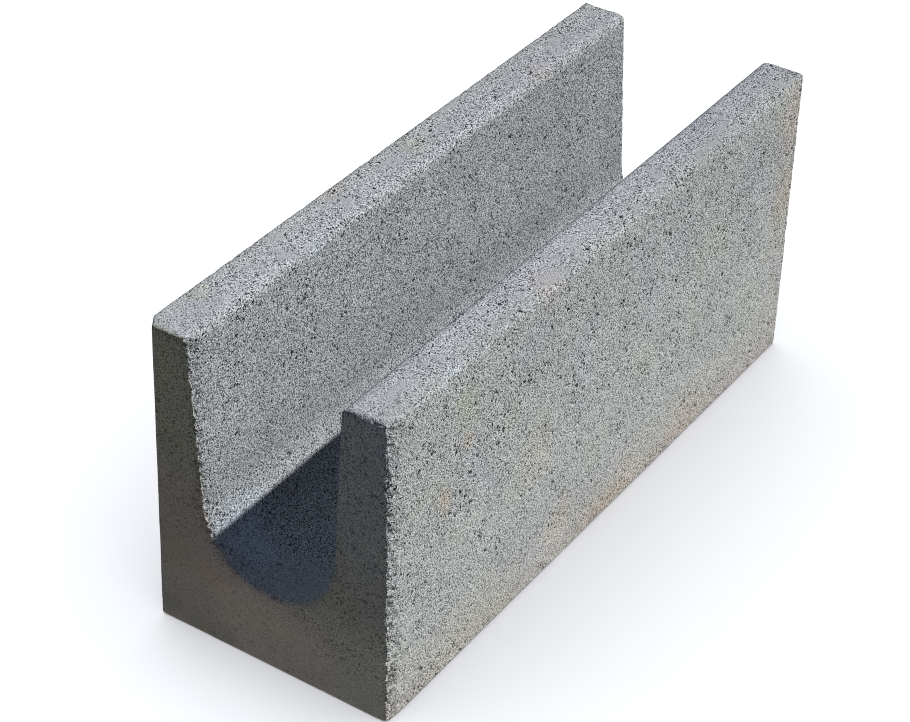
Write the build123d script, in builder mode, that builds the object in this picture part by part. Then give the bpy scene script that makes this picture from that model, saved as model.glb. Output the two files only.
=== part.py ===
"""Channel block: one U-shaped unit of pressed concrete, open along its top and at both ends.

It is laid in a course over an opening or along the head of a wall. Steel bars go in the channel,
and the channel is then filled with concrete. The block is pressed in one piece in a steel mould
over a tapered core, which gives the channel its leaning sides and its full-round bottom.

Millimetres. The origin is the middle of the bed face, +Y runs along the channel and +Z is up.
"""

import math
import os

from build123d import *

# Overall size
block_length = 500.0
block_width = 180.0
block_height = 230.0

# Section
wall_at_top = 34.0  # a side wall's thickness, level with the top face
floor_thickness = 60.0  # concrete under the lowest line of the channel
core_draft = 3.0  # degrees that each side of the channel leans out, so that the core pulls free

# Edges
lip_radius = 7.0  # the channel's two upper edges, rounded where the core leaves the mix
arris_radius = 4.0  # the wall tops' outer edges and the outlines of both ends, as worn
bed_arris_radius = 2.0  # the four edges round the bed face, which stay sharper

# The channel's bottom is the arc that touches both leaning sides and rests on the floor
draft = math.radians(core_draft)
mouth_half_width = block_width / 2 - wall_at_top
channel_depth = block_height - floor_thickness
reach_at_arc = mouth_half_width * math.cos(draft) - channel_depth * math.sin(draft)
bottom_radius = reach_at_arc / (1 - math.sin(draft))

# Each side meets the arc where the arc's radius stands square to that side
tangent_x = bottom_radius * math.cos(draft)
tangent_z = floor_thickness + bottom_radius * (1 + math.sin(draft))

with BuildPart() as channel_block:
    # Section across the channel, drawn on the middle plane with its base line on the bed
    with BuildSketch(Plane.XZ) as section:
        Rectangle(block_width, block_height, align=(Align.CENTER, Align.MIN))
        with BuildLine() as core_outline:
            Line((-mouth_half_width, block_height), (-tangent_x, tangent_z))
            ThreePointArc((-tangent_x, tangent_z), (0, floor_thickness), (tangent_x, tangent_z))
            Line((tangent_x, tangent_z), (mouth_half_width, block_height))
            Line((mouth_half_width, block_height), (-mouth_half_width, block_height))
        make_face(mode=Mode.SUBTRACT)

        # From left to right, the wall tops' corners are outer, lip, lip, outer
        top_corners = section.vertices().group_by(Axis.Y)[-1].sort_by(Axis.X)
        fillet(top_corners[1:3], radius=lip_radius)
        rounded_top_corners = section.vertices().group_by(Axis.Y)[-1].sort_by(Axis.X)
        fillet([rounded_top_corners[0], rounded_top_corners[-1]], radius=arris_radius)
    extrude(amount=block_length / 2, both=True)

    # Each end's outline, less its base line, is now one smooth run over both walls
    end_outlines = channel_block.faces().filter_by(Axis.Y).edges().filter_by(
        lambda edge: edge.center().Z > bed_arris_radius
    )
    fillet(end_outlines, radius=arris_radius)

    # The edges round the bed are one smooth loop once the upright edges are round
    bed_face = channel_block.faces().sort_by(Axis.Z)[0]
    fillet(bed_face.edges(), radius=bed_arris_radius)

channel_block.part.label = "channel_block"

os.makedirs("parts", exist_ok=True)
export_step(channel_block.part, "parts/channel_block.step")

print("channel bottom radius", round(bottom_radius, 2))
print("volume in litres", round(channel_block.part.volume / 1e6, 3))
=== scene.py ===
# %% [markdown]
# # A concrete channel block
# This lesson dresses one building block in Blender: a U-shaped unit of pressed concrete.
# A CAD model has already fixed its size and its section. Blender gives it what CAD leaves
# out, which is the grain, the open pits, the worn edges and the stains of real concrete.

# %% Start from the packed frame
import math

import bmesh
import bpy
from mathutils import Matrix, Vector


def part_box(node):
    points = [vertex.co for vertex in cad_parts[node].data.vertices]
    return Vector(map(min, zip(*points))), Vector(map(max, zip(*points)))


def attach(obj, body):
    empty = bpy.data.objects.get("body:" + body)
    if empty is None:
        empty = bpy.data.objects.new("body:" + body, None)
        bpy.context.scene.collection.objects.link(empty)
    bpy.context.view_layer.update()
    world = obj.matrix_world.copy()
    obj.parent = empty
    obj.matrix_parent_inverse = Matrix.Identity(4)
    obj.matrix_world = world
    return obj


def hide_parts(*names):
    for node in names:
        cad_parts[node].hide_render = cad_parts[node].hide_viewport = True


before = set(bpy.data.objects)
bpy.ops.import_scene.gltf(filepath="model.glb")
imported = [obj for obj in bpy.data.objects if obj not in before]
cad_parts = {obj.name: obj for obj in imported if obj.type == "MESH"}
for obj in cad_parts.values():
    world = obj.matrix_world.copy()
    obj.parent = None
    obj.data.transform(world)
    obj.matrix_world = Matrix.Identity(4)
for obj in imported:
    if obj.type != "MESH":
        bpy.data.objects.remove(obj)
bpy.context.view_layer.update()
low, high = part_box("channel_block")
LENGTH, WIDTH, HEIGHT = high.y - low.y, high.x - low.x, high.z - low.z
MM = 0.001
print("the block is", round(LENGTH, 3), "m long,", round(WIDTH, 3), "wide,", round(HEIGHT, 3), "high")

# %% [markdown]
# ## The camera
# The photograph looks down on the block from its near right-hand corner through a long lens.
# The place of the eye, the point it looks at and a small roll come from fitting a pinhole
# camera to the block's seven visible corners. A look-at turn with a roll after it gives the
# same view as turning the camera by hand, and it can be read off the numbers.

# %% Place the camera
EYE = Vector((0.7474, -1.1764, 1.1008))
AIM = Vector((0.0, -0.0475, 0.1199))
ROLL = math.radians(1.259)
camera_data = bpy.data.cameras.new("Camera")
camera_data.lens = 100.5
camera_data.sensor_width = 36
camera_data.clip_start, camera_data.clip_end = 0.01, 100
camera = bpy.data.objects.new("Camera", camera_data)
bpy.context.scene.collection.objects.link(camera)
look = (AIM - EYE).to_track_quat("-Z", "Y").to_matrix().to_4x4()
camera.matrix_world = Matrix.Translation(EYE) @ look @ Matrix.Rotation(ROLL, 4, "Z")
bpy.context.scene.camera = camera
print("camera", [round(v, 3) for v in camera.location])

# %% [markdown]
# ## Node maths as expressions
# The light, the shape of the surface and its colour all come from nodes. Wiring dozens of Math
# nodes by hand is slow to write and hard to read. Here one small class holds a socket and
# answers to + and *, so that an ordinary Python sum lays the nodes and links them.

# %% The Field class
class Field:
    """A node socket that takes part in Python sums, in a material or in a geometry tree."""

    def __init__(self, tree, socket):
        self.tree, self.socket = tree, socket

    def node(self, kind, settings, sockets):
        made = self.tree.nodes.new(kind)
        for name, value in settings.items():
            setattr(made, name, value)
        for place, value in sockets.items():
            if isinstance(value, Field):
                self.tree.links.new(value.socket, made.inputs[place])
            else:
                made.inputs[place].default_value = value
        return made

    def out(self, result, kind, settings, sockets):
        return Field(self.tree, self.node(kind, settings, sockets).outputs[result])

    def math(self, operation, *terms):
        return self.out(0, "ShaderNodeMath", {"operation": operation}, dict(enumerate(terms)))

    def __add__(self, other):
        return self.math("ADD", self, other)

    def __sub__(self, other):
        return self.math("SUBTRACT", self, other)

    def __rsub__(self, other):
        return self.math("SUBTRACT", other, self)

    def __mul__(self, other):
        return self.math("MULTIPLY", self, other)

    def __abs__(self):
        return self.math("ABSOLUTE", self)

    __radd__, __rmul__ = __add__, __mul__

    def root(self):
        return self.math("SQRT", self)

    def most(self, other):
        return self.math("MAXIMUM", self, other)

    def least(self, other):
        return self.math("MINIMUM", self, other)

    def step(self, start, end):
        """0 before start and 1 after end, turning smoothly between them."""
        ends = {"Value": self, "From Min": start, "From Max": end}
        return self.out(0, "ShaderNodeMapRange", {"interpolation_type": "SMOOTHSTEP"}, ends)

    def axes(self):
        parts = self.node("ShaderNodeSeparateXYZ", {}, {0: self}).outputs
        return [Field(self.tree, part) for part in parts]

    def vector(self, operation, other, result=0):
        return self.out(result, "ShaderNodeVectorMath", {"operation": operation}, {0: self, 1: other})

    def moved(self, by):
        return self.vector("ADD", by)

    def distance(self, place):
        return self.vector("DISTANCE", place, result=1)

    def noise(self, size, detail=2.0, rough=0.5):
        """Smooth noise from 0 to 1, with lumps of about that size in metres."""
        sockets = {"Vector": self, "Scale": 1 / size, "Detail": detail, "Roughness": rough}
        return self.out(0, "ShaderNodeTexNoise", {}, sockets)

    def dots(self, size, radius, ragged):
        """Spots of 1 on 0, one to each cell of that size. The radius is a share of the cell."""
        far = self.out(0, "ShaderNodeTexVoronoi", {"feature": "F1"}, {"Vector": self, "Scale": 1 / size})
        return 1 - (far + ragged).step(radius, radius + 0.05)

    def between(self, first, second):
        """A blend of two colours, in which this value is the second one's share."""
        first, second = (ink if isinstance(ink, Field) else (*ink, 1) for ink in (first, second))
        return self.out(2, "ShaderNodeMix", {"data_type": "RGBA"}, {0: self, 6: first, 7: second})

    def blend(self, other, share):
        """This colour turned towards the other by share."""
        return share.between(self, other)

    def tinted(self, by):
        """This colour times another one."""
        return self.vector("MULTIPLY", by)

    def scaled(self, by):
        return self.out(0, "ShaderNodeVectorMath", {"operation": "SCALE"}, {0: self, "Scale": by})

    def dimming(self, colour):
        """A plain colour scaled by this value."""
        return self.out(0, "ShaderNodeVectorMath", {"operation": "SCALE"}, {0: colour, "Scale": self})


print("a field also knows", [name for name in vars(Field) if not name.startswith("_")])

# %% [markdown]
# ## The floor
# In the photograph the surroundings of the block are cut away to white. A wide, plain, pale
# floor stands in for them. It is matt, and it throws no light back on the block, because the
# light from the real ground is already in the world below.

# %% Floor
FLOOR_SIZE, FLOOR_GREY = 60, 0.8
bpy.ops.object.select_all(action="DESELECT")
bpy.ops.mesh.primitive_plane_add(size=FLOOR_SIZE, location=(0, 0, 0))
floor = bpy.context.object
floor.name = "floor"
floor_paint = bpy.data.materials.new("floor_paint")
floor_paint.use_nodes = True
paint = floor_paint.node_tree.nodes["Principled BSDF"].inputs
paint["Base Color"].default_value = (FLOOR_GREY, FLOOR_GREY, FLOOR_GREY, 1)
paint["Roughness"].default_value = 1.0
paint["Specular IOR Level"].default_value = 0.0
floor.data.materials.append(floor_paint)
floor.visible_diffuse = floor.visible_glossy = floor.visible_shadow = False
print("floor", [round(side, 1) for side in floor.dimensions[:2]], "m")

# %% [markdown]
# ## The lamps
# The sun stands behind the block's right side, about halfway up the sky. A sun lamp throws the
# shadow that crosses the channel, and its angle of one degree sets how soft that shadow's edge
# is. Its direction is the one that lays the shadow's edge where the photograph has it.
# A second, very wide sun straight above lights the floor alone through light linking, so that
# the floor stays pale and even and keeps only a soft shadow round the block.

# %% Lamps
SUN_TOWARDS = Vector((101.5, 115.0, 143.0)).normalized()


def add_sun(name, towards, strength, angle, colour, floor_link):
    """A sun lamp that lights only the floor (INCLUDE), or everything but the floor (EXCLUDE)."""
    lamp_data = bpy.data.lights.new(name, "SUN")
    lamp_data.energy, lamp_data.angle, lamp_data.color = strength, math.radians(angle), colour
    lamp = bpy.data.objects.new(name, lamp_data)
    bpy.context.scene.collection.objects.link(lamp)
    lamp.location = 3 * towards
    lamp.rotation_euler = (-towards).to_track_quat("-Z", "Y").to_euler()
    linked = bpy.data.collections.new(name + "_" + floor_link.lower())
    lamp.light_linking.receiver_collection = linked
    linked.objects.link(floor)
    linked.collection_objects[0].light_linking.link_state = floor_link
    return lamp


sun = add_sun("sun", SUN_TOWARDS, strength=5.3, angle=1.0, colour=(1.0, 0.985, 0.96),
              floor_link="EXCLUDE")
floor_lamp = add_sun("floor_lamp", Vector((0, 0, 1)), strength=4.1, angle=120, colour=(1, 1, 1),
                     floor_link="INCLUDE")
print("lamps", sun.name, floor_lamp.name)

# %% [markdown]
# ## The sky
# What the sun misses is lit by the sky and by the ground: the block's end is warm and a little
# lighter than the channel, which sees only blue sky. So the world is a weak blue above and a
# stronger warm tone below. The camera itself sees a plain white backdrop.

# %% World
GROUND_LIGHT, SKY_LIGHT, BACKDROP = (0.265, 0.240, 0.190), (0.130, 0.158, 0.230), (1.0, 1.0, 1.0)
world = bpy.data.worlds.new("world")
bpy.context.scene.world = world
world.use_nodes = True
air = world.node_tree
direction = Field(air, air.nodes.new("ShaderNodeTexCoord").outputs["Generated"])
seen = Field(air, air.nodes.new("ShaderNodeLightPath").outputs["Is Camera Ray"])
glow = direction.axes()[2].step(-0.25, 0.25).between(GROUND_LIGHT, SKY_LIGHT)
air.links.new(glow.blend(BACKDROP, seen).socket, air.nodes["Background"].inputs["Color"])
print("world nodes", len(air.nodes))

# %% [markdown]
# ## A crisp picture of fine grain
# The grain of the concrete is one or two pixels wide. Blender's denoiser smears grain of that
# size where it cleans its own guide pictures first, and the usual pixel filter is half a pixel
# wider than it needs to be. The picture keeps the grain with both of them turned down.

# %% Picture settings
scene = bpy.context.scene
scene.view_settings.view_transform = "Standard"
scene.view_settings.look = "None"
scene.cycles.denoising_prefilter = "NONE"
scene.cycles.filter_width = 1.0
print("pixel filter", scene.cycles.filter_width, "pixels wide")

# %% [markdown]
# ## Helpers for working by hand
# Edit mode works on what is selected. With no mouse to click with, the code picks faces, edges
# and vertices by a test of their place or their direction, and it clears the old selection
# first, because an operator acts on all that is selected.

# %% Pick, hold and finish
def pick(test, kind="FACE"):
    """In edit mode, selects the faces, edges or vertices that pass the test, and nothing else."""
    bpy.ops.mesh.select_mode(type=kind)
    bpy.ops.mesh.select_all(action="DESELECT")
    shape = bmesh.from_edit_mesh(bpy.context.edit_object.data)
    parts = {"FACE": shape.faces, "EDGE": shape.edges, "VERT": shape.verts}[kind]
    chosen = [part for part in parts if test(part)]
    for part in chosen:
        part.select = True
    shape.select_flush_mode()
    bmesh.update_edit_mesh(bpy.context.edit_object.data)
    return len(chosen)


def hold(piece):
    """Makes a piece the only thing selected."""
    bpy.ops.object.select_all(action="DESELECT")
    piece.select_set(True)
    bpy.context.view_layer.objects.active = piece


def finish_modifier(piece, kind, **settings):
    """Adds a modifier with its settings and applies it."""
    modifier = piece.modifiers.new(kind.lower(), kind)
    for name, value in settings.items():
        setattr(modifier, name, value)
    hold(piece)
    bpy.ops.object.modifier_apply(modifier=modifier.name)


print("helpers", pick.__name__, hold.__name__, finish_modifier.__name__)

# %% [markdown]
# ## The block's section
# The wall, the floor and the lean of the channel's sides are the section's three driving sizes.
# The round bottom touches both sides and rests on the floor, so its radius follows from them.

# %% Sizes of the section
WALL_AT_TOP, FLOOR_THICKNESS, DRAFT = 34 * MM, 60 * MM, math.radians(3)
half_mouth = WIDTH / 2 - WALL_AT_TOP
depth = HEIGHT - FLOOR_THICKNESS
bottom_radius = (half_mouth * math.cos(DRAFT) - depth * math.sin(DRAFT)) / (1 - math.sin(DRAFT))
arc_centre = FLOOR_THICKNESS + bottom_radius
tangent_height = arc_centre + bottom_radius * math.sin(DRAFT)
tangent_half = bottom_radius * math.cos(DRAFT)
print("channel bottom radius", round(bottom_radius / MM, 2), "mm")

# %% [markdown]
# ## The block's form
# The real block is pressed in a steel box with a tapered core laid through it. The same two
# steps make it here: a box, then a core, and the core is cut out of the box. The box's near
# left corner is rubbed away on the real block, from almost nothing at the bed to some
# millimetres at the top, and one slanting cut takes it off while the shape is still simple.

# %% A box with a rubbed corner
bpy.ops.object.select_all(action="DESELECT")
bpy.ops.mesh.primitive_cube_add(size=1, location=(0, 0, HEIGHT / 2), scale=(WIDTH, LENGTH, HEIGHT))
block = bpy.context.object
block.name = "concrete_body"
bpy.ops.object.transform_apply(location=True, rotation=True, scale=True)

RUBBED_AT_BED, RUBBED_AT_TOP, RUBBED_BACK = 1.2 * MM, 7.1 * MM, 10.7 * MM
foot_of_cut = Vector((low.x + RUBBED_AT_BED, low.y, 0))
top_of_cut = Vector((low.x + RUBBED_AT_TOP, low.y, HEIGHT))
back_of_cut = Vector((low.x, low.y + RUBBED_BACK, HEIGHT))
across_cut = (back_of_cut - foot_of_cut).cross(top_of_cut - foot_of_cut).normalized()
if across_cut.x > 0:
    across_cut.negate()
bpy.ops.object.mode_set(mode="EDIT")
bpy.ops.mesh.select_all(action="SELECT")
bpy.ops.mesh.bisect(plane_co=foot_of_cut, plane_no=across_cut, use_fill=True, clear_outer=True)
bpy.ops.object.mode_set(mode="OBJECT")
print("box faces with its rubbed corner", len(block.data.polygons))

# %% [markdown]
# ## The channel
# A cylinder gives the core its round bottom. It is sliced level where its sides begin, and the
# flat cut is pulled upwards and spread a little, because the real core is tapered so that it
# comes free of the mix. The core stands out past both ends and the top, so that the cut is clean.

# %% Cut the core out of the box
OVER = 20 * MM
bpy.ops.mesh.primitive_cylinder_add(vertices=128, radius=bottom_radius, depth=LENGTH + 2 * OVER,
                                    location=(0, 0, arc_centre), rotation=(math.pi / 2, 0, 0))
core = bpy.context.object
bpy.ops.object.transform_apply(location=True, rotation=True, scale=True)
bpy.ops.object.mode_set(mode="EDIT")
bpy.ops.mesh.select_all(action="SELECT")
bpy.ops.mesh.bisect(plane_co=(0, 0, tangent_height), plane_no=(0, 0, 1), use_fill=True, clear_outer=True)
pick(lambda face: face.normal.z > 0.99 and face.calc_center_median().z > tangent_height - MM)
pull = HEIGHT + OVER - tangent_height
bpy.ops.mesh.extrude_region_move(TRANSFORM_OT_translate={"value": (0, 0, pull)})
spread = (tangent_half + pull * math.tan(DRAFT)) / tangent_half
bpy.ops.transform.resize(value=(spread, 1, 1), center_override=(0, 0, 0))
bpy.ops.mesh.select_all(action="SELECT")
bpy.ops.mesh.normals_make_consistent(inside=False)
bpy.ops.object.mode_set(mode="OBJECT")
finish_modifier(block, "BOOLEAN", operation="DIFFERENCE", object=core, solver="EXACT")
bpy.data.objects.remove(core)
print("channel", round(2 * half_mouth / MM, 1), "mm wide at the mouth, faces", len(block.data.polygons))

# %% [markdown]
# ## The edges
# The channel's two upper edges leave the mould well rounded. The other edges come out nearly
# square and lose their sharpness when blocks knock together, the right side's upper edge most
# of all. Each edge is marked with its own radius, as a bevel weight, and one Bevel modifier
# then rounds them all at once, which also closes the corners where they meet.

# %% Take the sharpness off the edges
ARRIS_ROUND, RIGHT_TOP_ROUND, LIP_ROUND = 1.2 * MM, 3.5 * MM, 6.5 * MM


def is_sharp(edge):
    return len(edge.link_faces) == 2 and edge.calc_face_angle(0) > math.radians(30)


def is_right_side_top(edge):
    a, b = (vert.co for vert in edge.verts)
    return min(a.x, b.x) > high.x - MM and min(a.z, b.z) > HEIGHT - MM


def is_lip(edge):
    a, b = (vert.co for vert in edge.verts)
    along_the_block = abs(a.x - b.x) < MM
    at_the_mouth = min(a.z, b.z) > HEIGHT - MM and max(abs(a.x), abs(b.x)) < half_mouth + MM
    return is_sharp(edge) and along_the_block and at_the_mouth


def wear_round(name, test, radius):
    """Marks the edges that pass the test with the radius that wear has given them."""
    print(name, pick(test, "EDGE"))
    shape = bmesh.from_edit_mesh(bpy.context.edit_object.data)
    layers = shape.edges.layers.float
    marks = layers.get("bevel_weight_edge") or layers.new("bevel_weight_edge")
    for edge in shape.edges:
        if edge.select:
            edge[marks] = radius / LIP_ROUND
    bmesh.update_edit_mesh(bpy.context.edit_object.data)


hold(block)
bpy.ops.object.mode_set(mode="EDIT")
wear_round("arrises", is_sharp, ARRIS_ROUND)
wear_round("right side's top", is_right_side_top, RIGHT_TOP_ROUND)
wear_round("lips", is_lip, LIP_ROUND)
bpy.ops.object.mode_set(mode="OBJECT")
finish_modifier(block, "BEVEL", limit_method="WEIGHT", width=LIP_ROUND, segments=5,
                use_clamp_overlap=False)
print("faces with worn edges", len(block.data.polygons))

# %% [markdown]
# ## One even skin
# The pits and crumbs to come need a dense, even mesh, and the block's faces are a few long
# strips. A voxel remesh fills the form with small cubes and lays an even skin round them. The
# rounds that are wider than a cube keep their shape, and the narrow ones only take the edge off.

# %% Lay the skin
SKIN = 1.5 * MM
finish_modifier(block, "REMESH", mode="VOXEL", voxel_size=SKIN)
print("skin quads", len(block.data.polygons))

# %% [markdown]
# ## Where a point lies on the block
# Wear, dirt and smoothness differ from face to face. The depth of a point under each face
# tells them apart, and it is worked out in nodes, so the carving and the colour use the same
# sums. Noise is read on turned axes, because a flat face that lies along the axes of a noise
# cuts it along its grid, and the pattern comes out furry.

# %% Depths and turned axes
NOISE_TURN = (0.62, 0.41, 0.93)


def depths(p):
    """How deep a point lies under the ends, the sides, the top, the bed and the channel's face."""
    x, y, z = p.axes()
    over = (z - arc_centre).most(0.0)
    under = (z - arc_centre).least(0.0)
    channel = (x * x + under * under).root() - bottom_radius - over * math.tan(DRAFT)
    return LENGTH / 2 - abs(y), WIDTH / 2 - abs(x), HEIGHT - z, z, channel


def turned(p):
    return p.out(0, "ShaderNodeVectorRotate", {"rotation_type": "EULER_XYZ"},
                 {"Vector": p, "Rotation": NOISE_TURN})


print("noise axes turned by", [round(math.degrees(angle)) for angle in NOISE_TURN], "degrees")

# %% [markdown]
# ## Recipes shared by the shape and the colour
# An open pit is a real hollow, and painted shade darkens its colour, so the same recipe has to
# carve it and colour it, or the two would fall in different places. The holes come from a cell
# pattern, one to a cell. Noise makes their rims ragged and lets them crowd together in some places.

# %% Pits, crowds and arrises
PIT_CELL, PIT_SHARE = 5.5 * MM, 0.12


def crowding(q):
    """Where pits crowd together and where they are few, from -0.5 to 0.5."""
    return q.moved((5, 5, 5)).noise(22 * MM, 2, 0.5).step(0.3, 0.7) - 0.5


def open_pits(q):
    """The largest holes, 0 on sound surface and 1 in a hole."""
    rim = (q.moved((2, 2, 5)).noise(0.9 * MM, 0) - 0.5) * 0.4 - crowding(q) * 0.16
    return q.moved((1, 7, 5)).dots(PIT_CELL, PIT_SHARE, rim)


def arris(end, side, top, channel):
    """1 on the edges of the two ends, fading to 0 some millimetres away from them."""
    fade = 9 * MM
    return (1 - end.step(0.0, fade)) * (1 - side.least(channel).least(top).step(0.0, fade))


def outside_round(a, b, radius):
    """How far a point stands outside a rounded edge. a and b are its depths under both faces."""
    a, b = (radius - a).most(0.0), (radius - b).most(0.0)
    return ((a * a + b * b).root() - radius).most(0.0)


print("open pits, one to a cell of", round(PIT_CELL / MM, 1), "mm")

# %% [markdown]
# ## Pits, crumbs and worn arrises
# Pressed concrete is a lean mix of sand and stone chips, so its surface is full of small open
# pits, and its edges lose a grain here and there. The larger pits and the wear are real shape,
# made by a geometry-node modifier that pushes each point of the skin in along its normal.
# Two arrises of the near end are gnawed the deepest: its right upright, and its left leg's
# edge along the channel.

# %% Start the relief and find its places
relief = bpy.data.node_groups.new("relief", "GeometryNodeTree")
for way in ("INPUT", "OUTPUT"):
    relief.interface.new_socket("Geometry", in_out=way, socket_type="NodeSocketGeometry")
skin_in = Field(relief, relief.nodes.new("NodeGroupInput").outputs[0])
place = Field(relief, relief.nodes.new("GeometryNodeInputPosition").outputs[0])
normal = Field(relief, relief.nodes.new("GeometryNodeInputNormal").outputs[0])
q = turned(place)
end, side, top, bed, channel = depths(place)
x, y, z = place.axes()
near_end = 1 - y.step(-60 * MM, 60 * MM)
near_left = near_end * (1 - x.step(-20 * MM, 20 * MM))
near_right = near_end - near_left
high_up = z.step(120 * MM, 215 * MM)
corner = near_right * (1 - top.step(0.0, 34 * MM)) * (1 - side.step(0.0, 30 * MM))
print("nodes that tell the places apart", len(relief.nodes))

# %% Sway of the faces and wear of the edges
LEAST_ROUND = 2.0 * MM
sway = (q.noise(70 * MM, 1) - 0.5) * (0.5 * MM) + (q.noise(14 * MM, 2) - 0.5) * (0.3 * MM)
knocks = q.moved((9, 2, 4)).noise(11 * MM, 2, 0.6).step(0.45, 0.75)
crumbs = q.moved((4, 4, 1)).noise(3.4 * MM, 1, 0.5).step(0.35, 0.75)
wear = knocks * (1.4 * MM) + crumbs * (0.7 * MM)
gnawed = knocks * (2.0 * MM) + crumbs * (3.2 * MM)
foot_wear = wear * 0.6 + 0.8 * MM

end_top = outside_round(end, top, wear + corner * (5 * MM) + LEAST_ROUND)
upright_wear = wear + near_right * (gnawed + 3.5 * MM) + corner * (3 * MM) + LEAST_ROUND
end_side = outside_round(end * (1 - near_right * 0.5), side, upright_wear)
leg_wear = wear + near_left * (gnawed * 0.8 + high_up * (5 * MM)) + 2.4 * MM
end_channel = outside_round(end * (1 - near_left * 0.5), channel, leg_wear)
side_top = outside_round(side, top, wear + LEAST_ROUND)
foot_edges = outside_round(bed, side, foot_wear).most(outside_round(bed, end, foot_wear))
worn = end_top.most(end_side).most(end_channel).most(side_top).most(foot_edges)
print("nodes with the wear", len(relief.nodes))

# %% Push the skin in
PIT_DEPTH, MARGIN = 0.8 * MM, 0.25 * MM
push = sway - worn - open_pits(q) * PIT_DEPTH - MARGIN
spot = place.moved(normal.scaled(push)).vector("MINIMUM", high).vector("MAXIMUM", low)
shaped = push.node("GeometryNodeSetPosition", {}, {"Geometry": skin_in, "Position": spot})
relief.links.new(shaped.outputs[0], relief.nodes.new("NodeGroupOutput").inputs[0])
finish_modifier(block, "NODES", node_group=relief)
print("relief nodes", len(relief.nodes))

# %% [markdown]
# ## A lighter mesh
# The skin is even, but only its pits and edges need so many faces. Decimate takes faces out
# where the surface is flat, until the piece is small enough to share.

# %% Thin the skin
MOST_TRIANGLES = 190_000
share_kept = MOST_TRIANGLES / (2 * len(block.data.polygons))
finish_modifier(block, "DECIMATE", ratio=share_kept, use_collapse_triangulate=True)
bpy.ops.object.shade_smooth()
print("finished skin", len(block.data.polygons), "faces")

# %% [markdown]
# ## The colour of each face
# The side was pressed against steel and is a neutral grey, lighter towards the bed. The wall
# tops are bluish and pasty. The channel is darker, and the end is brownish and smooth at its
# foot. Masks made from the depths blend one tint into the next.

# %% Masks for the faces
concrete = bpy.data.materials.new("concrete")
concrete.use_nodes = True
tree = concrete.node_tree
shader = tree.nodes["Principled BSDF"]
here = Field(tree, tree.nodes.new("ShaderNodeTexCoord").outputs["Object"])
q = turned(here)
end, side, top, bed, channel = depths(here)
x, y, z = here.axes()
cloud = q.moved((6, 1, 3)).noise(55 * MM, 2, 0.55)
patch = q.moved((1, 6, 8)).noise(22 * MM, 2, 0.6)
edge_sway = (patch - 0.5) * (14 * MM)
swayed_up = z + edge_sway


def near_face(face_depth, start=1.2 * MM, stop=3.4 * MM):
    """1 on a face, fading to 0 at a small depth under it."""
    return 1 - face_depth.step(start, stop)


on_end = near_face(end + edge_sway * 0.08)
on_top = near_face(top, 0.5 * MM, 4 * MM)
pale_top = on_top * (1 - (abs(x) + edge_sway * 0.8).step(70 * MM, 86 * MM) * 0.7)
in_channel = near_face(channel, 1.5 * MM, 5 * MM)
foot = 1 - z.step(20 * MM, 190 * MM)
print("mask nodes", len(tree.nodes))

# %% Tints by face
SIDE_TOP, SIDE, SIDE_FOOT = (0.536, 0.560, 0.556), (0.605, 0.630, 0.612), (0.640, 0.632, 0.600)
WARM = (0.615, 0.585, 0.545)
TOP_RIM, TOP, CHANNEL = (0.492, 0.510, 0.500), (0.487, 0.504, 0.530), (0.464, 0.489, 0.505)
LEFT_LEG, LEFT_SHIN = (0.500, 0.500, 0.400), (0.560, 0.500, 0.440)
RIGHT_LEG, RIGHT_SHIN = (0.450, 0.470, 0.488), (0.495, 0.500, 0.440)
LEFT_FOOT, END_FOOT, RIGHT_FOOT = (0.610, 0.565, 0.495), (0.725, 0.655, 0.570), (0.710, 0.690, 0.590)

earthy = 1 - (z + edge_sway * 0.5).step(0.0, 22 * MM)
earthy_far_end = (y + edge_sway).step(205 * MM, 252 * MM) * 0.6
side_tint = (1 - swayed_up.step(70 * MM, 210 * MM)).between(SIDE_TOP, SIDE)
side_tint = side_tint.blend(SIDE_FOOT, 1 - swayed_up.step(10 * MM, 60 * MM))
side_tint = side_tint.blend(WARM, earthy.most(earthy_far_end))

shin = 1 - swayed_up.step(80 * MM, 170 * MM)
on_right_leg = x.step(-20 * MM, 20 * MM)
leg_tint = shin.between(LEFT_LEG, LEFT_SHIN).blend(shin.between(RIGHT_LEG, RIGHT_SHIN), on_right_leg)
foot_tint = x.step(-85 * MM, -30 * MM).between(LEFT_FOOT, END_FOOT)
foot_tint = foot_tint.blend(RIGHT_FOOT, x.step(20 * MM, 75 * MM))
end_tint = leg_tint.blend(foot_tint, 1 - swayed_up.step(35 * MM, 85 * MM))

far_dimming = 1 - y.step(-120 * MM, 250 * MM) * 0.07
tint = side_tint.blend(far_dimming.dimming(CHANNEL), in_channel)
tint = tint.blend(pale_top.between(TOP_RIM, TOP).scaled(far_dimming), on_top)
tint = tint.blend(end_tint, on_end)
print("nodes with the tints", len(tree.nodes))

# %% [markdown]
# ## Painted shade and clouds
# Painted shade darkens the rounded edges of the wall tops and the lower part of the channel. No
# batch of concrete is evenly mixed either, so broad clouds make it a little lighter, darker, bluer
# or yellower by turns.

# %% Painted shade, and clouds of lighter and darker mix
BLUISH, GREENISH, YELLOWISH = (0.975, 0.99, 1.035), (0.995, 1.01, 0.985), (1.03, 1.0, 0.95)
NO_CAST = (1.0, 1.0, 1.0)
ARRIS_SHADE_BAND = 6 * MM
# Painted shade: the colour is darkened along the rounded edges of the wall tops.
arris_painted_shade = (1 - top.step(0.0, ARRIS_SHADE_BAND)) * (1 - side.least(channel).least(end).step(0.0, ARRIS_SHADE_BAND))
# Painted shade: the channel's colour is darkened below about 105 to 150 mm.
channel_painted_shade = in_channel * (1 - z.step(105 * MM, 150 * MM))
tint = tint.scaled(1 - arris_painted_shade * 0.16).scaled(1 - channel_painted_shade * 0.08)

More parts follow.
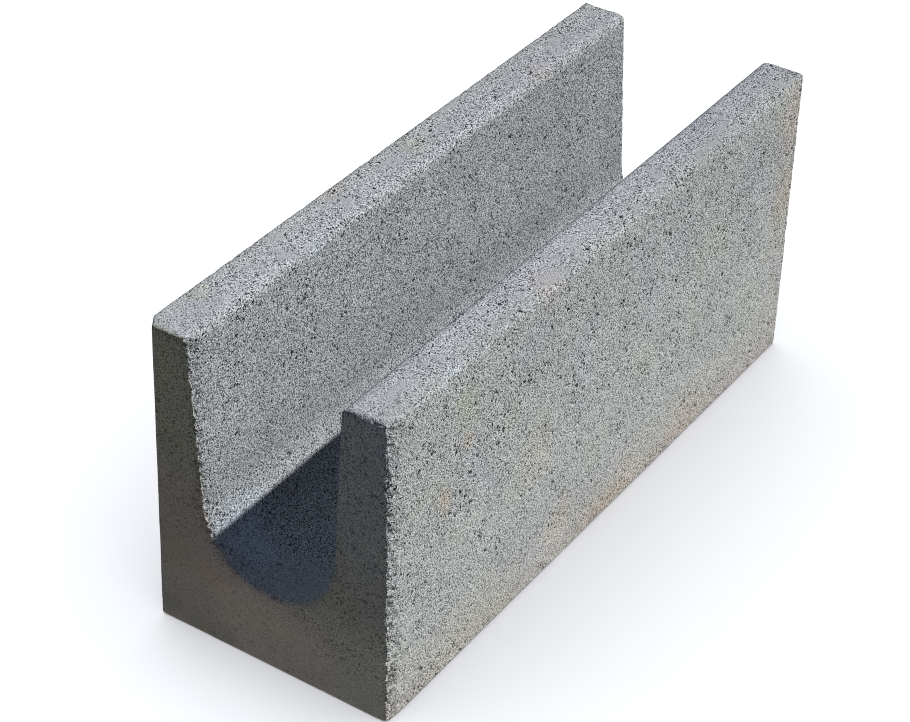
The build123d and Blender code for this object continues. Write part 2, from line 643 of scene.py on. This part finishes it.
shade = (q.moved((3, 9, 2)).noise(38 * MM, 3, 0.6) - 0.5) * 0.30 + 1.0
cast = cloud.step(0.3, 0.7).between(GREENISH, BLUISH).blend(YELLOWISH, patch.step(0.62, 0.78) * 0.4)
cast = cast.blend(NO_CAST, in_channel.most(on_top) * 0.7)
tint = tint.tinted(cast).scaled(shade)
print("nodes with the clouds", len(tree.nodes))

# %% [markdown]
# ## Stains, smears and rubbed places
# Rust from tie wire, spilt earth and a dragged trowel leave marks in places of their own.
# A short list holds them, each with its place along the three axes, its reach, a colour and a
# strength, and its outline is broken up with noise. Another mark is one more line in the list.

# %% Marks by place
RUST, EARTH, PINK, MOSS = (1.08, 0.93, 0.82), (1.06, 0.97, 0.88), (1.10, 0.98, 0.94), (1.0, 1.02, 0.86)
LIME, SOOT, DUST, BROWN = (1.14, 1.17, 1.25), (0.78, 0.82, 0.76), (1.10, 1.06, 1.01), (1.03, 0.96, 0.90)
BLUE = (1.06, 1.12, 1.20)
ON_SIDE, ON_NEAR_END, ON_WALLS = 90, -250, 230
MARKS = (
    (ON_SIDE, -165, 169, 8, RUST, 0.8),
    (ON_SIDE, -191, 140, 8, RUST, 0.9),
    (ON_SIDE, -190, 130, 6, RUST, 0.7),
    (ON_SIDE, -170, 198, 14, MOSS, 0.8),
    (ON_SIDE, -163, 185, 12, MOSS, 0.6),
    (ON_SIDE, -89, 105, 24, PINK, 0.4),
    (ON_SIDE, -54, 32, 20, EARTH, 0.8),
    (ON_SIDE, 26, 5, 24, EARTH, 0.8),
    (ON_SIDE, -10, 8, 20, EARTH, 0.7),
    (ON_SIDE, 110, 8, 30, PINK, 0.6),
    (ON_SIDE, 239, 198, 20, PINK, 0.8),
    (ON_SIDE, 240, 140, 24, EARTH, 0.7),
    (-75, 12, ON_WALLS, 14, MOSS, 0.8),
    (-83, -204, ON_WALLS, 12, MOSS, 0.6),
    (-87, -66, ON_WALLS, 12, EARTH, 0.6),
    (-62, 145, ON_WALLS, 14, EARTH, 0.6),
    (88, -76, ON_WALLS, 16, PINK, 0.7),
    (ON_SIDE, -179, 229, 9, LIME, 0.9),
    (ON_SIDE, -190, 222, 8, LIME, 0.5),
    (-56, -121, ON_WALLS, 10, LIME, 0.6),
    (-60, ON_NEAR_END, 6, 12, SOOT, 0.9),
    (-38, ON_NEAR_END, 6, 12, SOOT, 0.9),
    (-78, ON_NEAR_END, 12, 10, SOOT, 0.7),
    (-72, ON_NEAR_END, 60, 22, BROWN, 0.8),
    (-45, ON_NEAR_END, 52, 16, BROWN, 0.8),
    (-20, ON_NEAR_END, 30, 26, DUST, 0.4),
    (10, ON_NEAR_END, 22, 26, DUST, 0.5),
    (-36, -226, 84, 26, BLUE, 0.9),
    (-28, -222, 70, 20, BLUE, 0.8),
)
for across, along, up, reach, colour, strength in MARKS:
    away = here.distance((across * MM, along * MM, up * MM)) + (patch - 0.5) * (reach * 1.6 * MM)
    mark = 1 - away.step(reach * 0.2 * MM, reach * 1.3 * MM)
    tint = tint.blend(tint.tinted(colour), mark * strength)
print("marks", len(MARKS))

# %% [markdown]
# ## The grain
# Seen close, the surface is light crumbs of sand with dark open pits between them. The fine
# grain and the smallest pits come from noise. The bright glints and the ragged holes come from
# cell patterns, and the largest holes are the ones that are carved in the shape.

# %% Grain and pits
grain = q.moved((2, 2, 5)).noise(1.0 * MM, 0)
speck = q.noise(0.95 * MM, 0)
edge = arris(end, side, top, channel)
ragged = (grain - 0.5) * 0.5 - crowding(q) * 0.08 - edge * 0.06
small_hole = q.moved((3, 4, 5)).dots(2.3 * MM, 0.185, ragged)
glint = q.moved((8, 1, 2)).dots(1.8 * MM, 0.26, (speck - 0.5) * 0.5)
fine_pit = (1 - speck.step(0.31, 0.34)) * 0.9
hole = small_hole.most(open_pits(q))
print("nodes with the grain", len(tree.nodes))

# %% [markdown]
# ## Paste
# Where the mix was trowelled or pressed hard, cement paste has risen and filled the pits: in
# patches on the wall tops and at their near ends, on the foot of both ends, in the damp corner
# of the channel and, a little of it, low on every face. One mask holds all of it, and the pits
# and the grain fade out there.

# %% Paste
paste_patch = q.moved((7, 3, 9)).noise(17 * MM, 2, 0.6)
smooth_end = 1 - (z + x * 0.45 + edge_sway).step(35 * MM, 85 * MM)
leg_face = (1 - x.step(-60 * MM, -40 * MM)) * (1 - z.step(60 * MM, 190 * MM)) * 0.6
near_tops = on_top * (1 - (y + edge_sway * 2).step(-235 * MM, -190 * MM))
damp_corner = in_channel * (1 - y.step(-225 * MM, -190 * MM)) * (1 - swayed_up.step(70 * MM, 100 * MM))
paste = (paste_patch.step(0.52, 0.66) * on_top * 0.8).most(smooth_end.most(leg_face) * on_end * 0.75)
paste = paste.most(foot * 0.25).most(near_tops * 0.4).most(damp_corner * 0.7)
print("nodes with the paste", len(tree.nodes))

# %% [markdown]
# ## Tone and bump
# The grain's tone swings between a dark and a light value, and pits are nearly black. A light
# bump follows the same pattern. Most of the depth is in the tone as painted shade and light: the
# black of the pits and part of the tone's swing paint the small shadows that fine relief casts,
# which a bump can't, and the glints are painted highlights. Both ends get less of them.

# %% Tone, bump and the shader
DARK, LIGHT = 0.40, 0.99
# calm sets how strong the painted shade and painted highlights of the grain are: weaker in paste and on
# both ends, a little stronger in the channel.
calm = (1 - paste) * (1 - on_end * 0.45) * (1 + in_channel * 0.12)
tone = (grain.step(0.40, 0.60) - 0.5) * calm * (LIGHT - DARK) + (LIGHT + DARK) / 2
tone = tone + glint * calm * 0.42
# Painted shade in the pits: their colour is darkened nearly to black, less in paste and on the ends.
pit = fine_pit.most(hole) * (1 - paste * 0.8) * (1 - on_end * 0.4)
colour = tint.scaled(tone * (1 - pit * 0.94))

hollow = (fine_pit * 0.8).most(hole) * (1 - paste * 0.7)
height = (grain * 0.4 + glint * 0.4 - hollow) * (edge * 1.5 + 1)
bump = height.node("ShaderNodeBump", {}, {"Strength": 1.0, "Distance": 0.6 * MM, "Height": height})
tree.links.new(colour.socket, shader.inputs["Base Color"])
tree.links.new(bump.outputs[0], shader.inputs["Normal"])
shader.inputs["Roughness"].default_value = 0.92
shader.inputs["Specular IOR Level"].default_value = 0.25
block.data.materials.clear()
block.data.materials.append(concrete)
print("concrete nodes", len(tree.nodes))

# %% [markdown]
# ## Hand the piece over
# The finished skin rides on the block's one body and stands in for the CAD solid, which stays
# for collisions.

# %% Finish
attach(block, "root")
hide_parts("channel_block")
